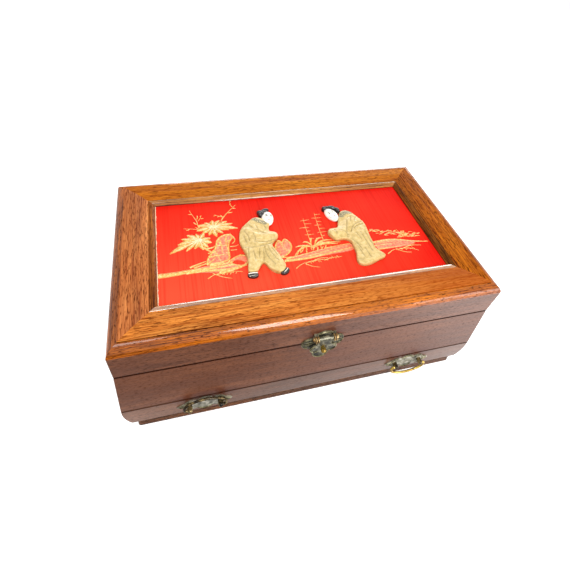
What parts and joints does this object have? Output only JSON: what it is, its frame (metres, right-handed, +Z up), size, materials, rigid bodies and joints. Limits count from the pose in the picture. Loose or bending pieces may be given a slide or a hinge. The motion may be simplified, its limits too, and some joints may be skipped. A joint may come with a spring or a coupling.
{
  "type": "jewelry box",
  "caption": "Wooden jewelry box with a hinged framed lid over a lined case, a red lacquer panel with carved figures, a front latch and a shallow drawer with bail pulls.",
  "frame": {"origin": "on the floor, under the middle of the object's overall box", "axes": "+X to the right, +Y to the back, +Z up"},
  "size_m": [0.2932, 0.1728, 0.1072],
  "materials": {
    "frame_wood": "satin varnish",
    "moulding_wood": "gloss varnish",
    "case_wood": "satin varnish",
    "foot_wood": "gloss varnish",
    "inner_wood": "bare",
    "red_lacquer": "gloss lacquer",
    "carved_stone": "polished",
    "pale_stone": "polished",
    "black_stone": "polished",
    "lining_cloth": "velvet",
    "bright_brass": "worn",
    "aged_brass": "aged"
  },
  "bodies": {
    "case": {"case_wall_front": "case_wood", "case_wall_back": "case_wood", "case_wall_left": "case_wood", "case_wall_right": "case_wood", "case_floor": "inner_wood", "case_lining": "lining_cloth", "dividers": "lining_cloth", "base_rail_left": "case_wood", "base_rail_right": "case_wood", "base_rail_back": "case_wood", "base_board": "inner_wood", "foot_rail_front": "foot_wood", "foot_rail_back": "foot_wood", "latch_case_plate": "aged_brass", "latch_staple": "bright_brass", "hinge_leaves_case": "aged_brass", "hinge_pins": "aged_brass", "hinge_screws_case": "aged_brass"},
    "lid": {"lid_rail_front": "frame_wood", "lid_rail_back": "frame_wood", "lid_rail_left": "frame_wood", "lid_rail_right": "frame_wood", "edge_moulding_front": "moulding_wood", "edge_moulding_back": "moulding_wood", "edge_moulding_left": "moulding_wood", "edge_moulding_right": "moulding_wood", "panel_bead_front": "frame_wood", "panel_bead_back": "frame_wood", "panel_bead_left": "frame_wood", "panel_bead_right": "frame_wood", "lid_wall_front": "case_wood", "lid_wall_back": "case_wood", "lid_wall_left": "case_wood", "lid_wall_right": "case_wood", "lid_board": "inner_wood", "lacquer_panel": "red_lacquer", "lid_lining": "lining_cloth", "left_figure_robe": "carved_stone", "right_figure_robe": "carved_stone", "figure_heads": "pale_stone", "figure_hair": "black_stone", "figure_shoes": "black_stone", "latch_lid_plate": "aged_brass", "hasp_pin": "aged_brass", "hinge_leaves_lid": "aged_brass", "hinge_screws_lid": "aged_brass"},
    "hasp": {"hasp": "aged_brass"},
    "drawer": {"drawer_front": "case_wood", "drawer_side_left": "inner_wood", "drawer_side_right": "inner_wood", "drawer_back": "inner_wood", "drawer_bottom": "inner_wood", "drawer_lining": "lining_cloth", "pull_plate_left": "aged_brass", "pull_plate_right": "aged_brass", "pull_posts": "aged_brass", "pull_nuts": "aged_brass"},
    "left_bail": {"pull_bail_left": "bright_brass"},
    "right_bail": {"pull_bail_right": "bright_brass"}
  },
  "joints": [
    {"name": "lid_hinge", "type": "hinge", "parent": "case", "child": "lid", "pos_m": [0, 0.0808, 0.0742], "axis": [-1, 0, 0], "range_deg": [0, 100]},
    {"name": "hasp_hinge", "type": "hinge", "parent": "lid", "child": "hasp", "pos_m": [0, -0.08314, 0.08295], "axis": [-1, 0, 0], "range_deg": [0, 170]},
    {"name": "drawer_slide", "type": "slide", "parent": "case", "child": "drawer", "axis": [0, -1, 0], "range_m": [0, 0.11]},
    {"name": "left_bail_hinge", "type": "hinge", "parent": "drawer", "child": "left_bail", "pos_m": [-0.086, -0.08339, 0.019], "axis": [1, 0, 0], "range_deg": [0, 184]},
    {"name": "right_bail_hinge", "type": "hinge", "parent": "drawer", "child": "right_bail", "pos_m": [0.086, -0.08339, 0.019], "axis": [-1, 0, 0], "range_deg": [0, 180]}
  ]
}
